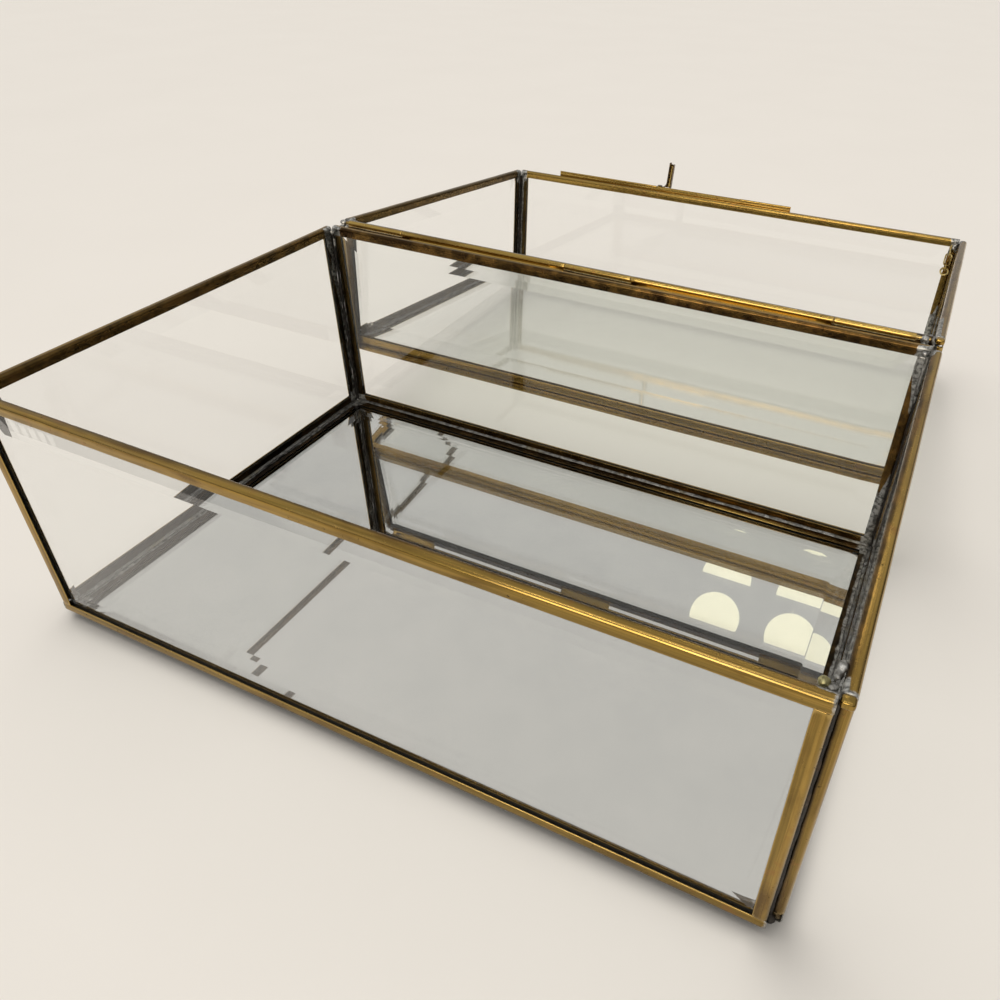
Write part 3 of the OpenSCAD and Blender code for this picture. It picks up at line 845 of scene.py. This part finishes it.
TOP_BEAD = [(-0.6, 0.1), (0.1, -0.05), (0.62, 0.05), (0.6, 0.3), (0.4, 0.7), (0.2, 1.1), (0.0, 1.45), (-0.4, 1.5)]
parts = []
for m in (1, -1):
    for seed, length, f in (
        (71, LD - 1.0, lambda x, y, z, m=m: (m * (-LX / 2 + x), y, z)),
        (77, LX - 1.0, lambda x, y, z, m=m: (y, m * (-LD / 2 + x), z)),
    ):
        p, fa, mi, st, we = fillet(length, seed + m, TOP_BEAD)
        parts.append((lid_walls(mapped(p, f)), fa, mi, st, we))
done(build("lid_top_solder_run", parts, [SOLDER_DULL]), "lid", "solder", "lid_top_solder")

# lump that holds the chain
parts = []
for c, r, s in (((W / 2 - T - 1.7, FY - T - 1.5, R - 3.0), (1.9, 1.8, 2.3), 81), ((W / 2 - T - 2.3, FY - T - 2.9, R - 4.2), (1.35, 1.5, 1.3), 83), ((W / 2 - T - 0.8, FY - T - 0.8, R - 5.2), (1.3, 1.3, 2.0), 85)):
    p, fa, mi, st, we = ball(c, r, s, 0.2)
    parts.append((lean(p), fa, mi, st, we))
done(melted(build("chain_solder_lump", parts, [SOLDER]), 0.0002), "lid", "solder", "chain_solder")

# ends of the hinge wire
parts = []
for i, x in enumerate((-143.8, 142.4)):
    parts.append(ball((x, HY - 0.15, HZ - 0.15), (1.9, 1.55, 1.5), 91 + i, 0.16))
    parts.append(ball((x + 0.2, HY - 2.3, HZ - 1.9), (1.7, 1.7, 1.3), 94 + i, 0.16))
done(melted(build("hinge_wire_lumps", parts, [SOLDER]), 0.0002), "base", "solder", "hinge_wire_solder")

# ---------------------------------------------------------------- hinge, lip, tab, chain
def rolled_tube(x0, x1, side, seed, place):
    """A knuckle from x0 to x1: sheet rolled into a tube round the hinge axis, with a low web to its own rail.
    side is -1 for the base's rail and 1 for the lid's; place leans the lid's."""
    ro, ri = 1.5, 0.87
    prof, norm = [], []
    a0 = math.radians(-68)
    for i in range(40):
        a = a0 + math.radians(352) * i / 39
        prof.append((ro * math.cos(a), ro * math.sin(a)))
        norm.append(1)
    for i in range(28):
        a = a0 + math.radians(352) * (1 - i / 27)
        prof.append((ri * math.cos(a), ri * math.sin(a)))
        norm.append(0)
    prof = np.array(prof)
    length = x1 - x0
    n = max(6, int(length / 2.5))
    ss = [0.0, 0.12, 0.3] + [length * i / n for i in range(1, n)] + [length - 0.3, length - 0.12, length]
    trim = {0: 0.12, 1: 0.03, len(ss) - 2: 0.03, len(ss) - 1: 0.12}
    k = len(prof)
    pts, strip, wear = [], [], []
    for j, q in enumerate(ss):
        g = np.ones(k)
        for i in range(k):
            if norm[i]:
                g[i] = 1 - (0.012 * (0.5 + n1(q / 9.0 + i * 0.05, seed)) + trim.get(j, 0.0)) / ro
        p = prof * g[:, None]
        pts.append(np.column_stack([np.full(k, x0 + q), HY - side * p[:, 0], HZ + p[:, 1]]))
        strip.append(np.column_stack([np.full(k, q * MM), np.arange(k) * 0.00024, np.full(k, seed * 0.7)]))
        wear.append(np.full(k, 0.1 + (0.5 if j < 3 or j > len(ss) - 4 else 0)))
    faces = []
    for j in range(len(ss) - 1):
        for i in range(k):
            i2 = (i + 1) % k
            faces.append((j * k + i, j * k + i2, (j + 1) * k + i2, (j + 1) * k + i))
    faces += [tuple(range(k)), tuple((len(ss) - 1) * k + i for i in reversed(range(k)))]
    tube = (place(np.vstack(pts)), faces, [0] * len(faces), np.vstack(strip), np.concatenate(wear))
    web = [(1.05, -0.75), (1.35, -0.85), (3.55, -1.9), (3.75, -2.1), (3.75, -3.3), (3.5, -3.35), (2.2, -2.35), (0.85, -1.35), (0.7, -1.2)]
    web = [(HY + side * y, HZ + z) for y, z in web]
    m = len(web)
    qs = np.linspace(x0 + 0.25, x1 - 0.25, 12)
    wp = np.array([(q, y, z) for q in qs for y, z in web])
    wf = [(j * m + i, j * m + (i + 1) % m, (j + 1) * m + (i + 1) % m, (j + 1) * m + i) for j in range(11) for i in range(m)]
    wf += [tuple(range(m)), tuple(11 * m + i for i in reversed(range(m)))]
    ws = np.column_stack([(wp[:, 0] - x0) * MM, (wp[:, 1] + wp[:, 2]) * MM, np.full(len(wp), seed * 0.7)])
    return [tube, (place(wp), wf, [0] * len(wf), ws, np.full(len(wp), 0.1))]


same = lambda p: np.asarray(p, float)
parts = []
for i, (x0, x1) in enumerate(((-107.35, -17.15), (15.95, 106.15))):
    parts += rolled_tube(x0, x1, -1, 3 + i, same)
done(build("hinge_tube_base", parts, [BRASS_DARK]), "base", "brass", "hinge_knuckles_base")
parts = []
for i, (x0, x1) in enumerate(((-140.15, -107.65), (-16.85, 15.65), (106.45, 138.95))):
    parts += rolled_tube(x0, x1, 1, 7 + i, lean)
done(build("hinge_tube_lid", parts, [BRASS_DARK]), "lid", "brass", "hinge_knuckles_lid")
done(refined("lift_lip", "lift_lip_formed", [BRASS_DARK], width=0.00018, segments=3, seed=5, wobble=0.00004), "lid", "brass", "lift_lip")
tab = done(refined("lift_tab", "lift_tab_formed", [BRASS_DARK], width=0.00015, segments=3, seed=6, wobble=0.00003, cut=0.0006), "lid", "brass", "lift_tab")
co = np.array([v.co[:] for v in tab.data.vertices]) / MM
rise = math.sin(LEAN) * (co[:, 1] - HY) + math.cos(LEAN) * (co[:, 2] - HZ)
across = co[:, 0] - TAB_X - (rise - 4.0) * math.tan(math.radians(3))
ribs = 1 - ease(across, 0.75, 1.0) * (1 - ease(across, 2.1, 2.35))
age_and_shade = np.column_stack([0.55 * ribs, np.zeros(len(co)), 0.9 * ribs])
tab.data.attributes.new("age_and_shade", "FLOAT_VECTOR", "POINT").data.foreach_set("vector", age_and_shade.astype(np.float32).ravel())
tab.data.attributes["wear"].data.foreach_set("value", (1.0 - ribs).astype(np.float32))
for name in ("hinge_wire", "chain_link_1", "chain_link_2", "chain_link_3", "chain_ring"):
    ob = frame["nodes"][name]
    ob.data.materials.clear()
    ob.data.materials.append(BRASS_SMALL if name == "hinge_wire" else BRASS_CHAIN)
    ob.data.polygons.foreach_set("use_smooth", np.full(len(ob.data.polygons), True))

# ---------------------------------------------------------------- floor, light and camera
me = bpy.data.meshes.new("studio_floor")
s = 3.0
me.from_pydata([(-s, -s, 0), (s, -s, 0), (s, s, 0), (-s, s, 0)], [], [(0, 1, 2, 3)])
floor = bpy.data.objects.new("studio_floor", me)
floor.location = (0, 0, -0.0001)
scene.collection.objects.link(floor)
t = Tree("studio_floor")
o = t.coords()
a = t.noise(o, 9, 4, 0.5)
col = t.mix(a, rgb(0.87, 0.83, 0.775), rgb(0.84, 0.80, 0.745))
me.materials.append(t.finish(t.shader(Base_Color=col, Roughness=0.55, Specular_IOR_Level=0.3).outputs[0]))


def sun(name, direction, strength, angle, color):
    d = bpy.data.lights.new(name, "SUN")
    d.energy, d.angle, d.color = strength, math.radians(angle), color
    ob = bpy.data.objects.new(name, d)
    ob.rotation_euler = Vector(direction).to_track_quat("-Z", "Y").to_euler()
    scene.collection.objects.link(ob)
    return ob


def lamp(name, at, direction, distance, size, power, color):
    d = bpy.data.lights.new(name, "AREA")
    d.shape, d.size, d.energy, d.color = "DISK", size, power, color
    ob = bpy.data.objects.new(name, d)
    v = Vector(direction).normalized()
    ob.location = Vector(at) * MM + v * distance
    ob.rotation_euler = (-v).to_track_quat("-Z", "Y").to_euler()
    scene.collection.objects.link(ob)
    return ob


key = sun("key", (0.36, -0.2, -0.9), 1.5, 50.0, (1.0, 0.97, 0.93))
key.visible_glossy = key.visible_transmission = False
spots = ((94.1, 19, 3.5), (-0.134, 0.706, 0.696)), ((125.3, 20.7, 3.5), (-0.045, 0.714, 0.699))
seen = [lamp("lamp_%d" % i, at, v, 1.7, 0.12, 0.026, (1.0, 0.94, 0.58)) for i, (at, v) in enumerate(spots)]
glow = [lamp("glow_%d" % i, at, v, 1.7, 0.12, 0.2, (1.0, 0.96, 0.82)) for i, (at, v) in enumerate(spots)]
strip_light = lamp("strip_light", (100, -98, 104), (-0.17, -0.87, 0.46), 1.8, 0.9, 10.0, (1.0, 0.90, 0.74))
strip_light.data.shape, strip_light.data.size_y = "RECTANGLE", 0.80
hinge_light = lamp("hinge_light", (100, 101, 105), (-0.2, -0.38, 0.90), 1.6, 0.75, 1.4, (1.0, 0.95, 0.85))
hinge_light.data.shape, hinge_light.data.size_y = "RECTANGLE", 0.05
soft_box = lamp("soft_box", (40, 60, 60), (0.0, -0.12, 0.99), 1.6, 1.3, 1.6, (1.0, 0.98, 0.94))
soft_box.data.shape, soft_box.data.size_y = "RECTANGLE", 0.45

# the long lights shape the metal; the glass and the mirror show only the room and the two lamps
metal, panes = bpy.data.collections.new("metal_light"), bpy.data.collections.new("glass_light")
for ob in scene.collection.all_objects:
    if ob.type == "MESH" and ob != floor:
        clear = any("glass" in (m.name if m else "") for m in ob.data.materials) or "mirror" in ob.name
        (panes if clear else metal).objects.link(ob)
for ob in [strip_light, hinge_light, soft_box] + glow:
    ob.light_linking.receiver_collection = metal
upright = bpy.data.collections.new("wall_glass_light")
for ob in panes.objects:
    if "mirror" not in ob.name:
        upright.objects.link(ob)
for ob in seen:
    ob.light_linking.receiver_collection = upright

world = bpy.data.worlds.new("studio")
scene.world = world
world.use_nodes = True
nt = world.node_tree
nt.nodes.clear()
wo = nt.nodes.new("ShaderNodeOutputWorld")
bg = nt.nodes.new("ShaderNodeBackground")
tc = nt.nodes.new("ShaderNodeTexCoord")
sep = nt.nodes.new("ShaderNodeSeparateXYZ")
nt.links.new(tc.outputs["Generated"], sep.inputs[0])


def wrange(v, a, b, lo, hi):
    x = nt.nodes.new("ShaderNodeMapRange")
    x.interpolation_type = "SMOOTHSTEP"
    nt.links.new(v, x.inputs[0])
    for i, y in enumerate((a, b, lo, hi)):
        x.inputs[i + 1].default_value = y
    return x.outputs[0]


def wmix(f, a, b):
    x = nt.nodes.new("ShaderNodeMix")
    x.data_type = "RGBA"
    for s_, v_ in ((x.inputs[0], f), (x.inputs[6], a), (x.inputs[7], b)):
        if isinstance(v_, bpy.types.NodeSocket):
            nt.links.new(v_, s_)
        else:
            s_.default_value = v_
    return x.outputs[2]


up = wrange(sep.outputs["Z"], 0.05, 0.55, 0.0, 1.0)
behind = wrange(sep.outputs["Y"], -0.3, 0.5, 0.0, 1.0)
side = wrange(sep.outputs["X"], 0.1, 0.7, 0.0, 1.0)
low = wmix(behind, rgb(0.24, 0.23, 0.215), rgb(0.46, 0.445, 0.42))
low = wmix(side, low, rgb(0.06, 0.057, 0.053))
high = wrange(sep.outputs["Z"], 0.42, 0.85, 0.0, 1.0)
top = wmix(side, rgb(0.64, 0.63, 0.61), rgb(0.40, 0.39, 0.37))
top = wmix(high, top, rgb(0.60, 0.59, 0.57))
sky = wmix(up, low, top)
nt.links.new(sky, bg.inputs[0])
bg.inputs[1].default_value = 1.0
nt.links.new(bg.outputs[0], wo.inputs[0])

cam = bpy.data.cameras.new("photo_view")
cam.lens, cam.sensor_width, cam.sensor_fit = 29.51, 36.0, "HORIZONTAL"
cam.shift_x, cam.shift_y = -0.0761, -0.0162
cam.clip_start, cam.clip_end = 0.01, 50
camera = bpy.data.objects.new("photo_view", cam)
camera.location = (0.141048, -0.228743, 0.247600)
camera.rotation_euler = (0.9410802, -0.0229763, 0.4419529)
scene.collection.objects.link(camera)
scene.camera = camera

cy = scene.cycles
cy.max_bounces, cy.transmission_bounces, cy.glossy_bounces, cy.diffuse_bounces = 28, 26, 12, 4
cy.transparent_max_bounces = 24
cy.caustics_reflective = False
cy.caustics_refractive = False
cy.sample_clamp_indirect = 6.0
scene.view_settings.view_transform = "Standard"
scene.view_settings.look = "None"
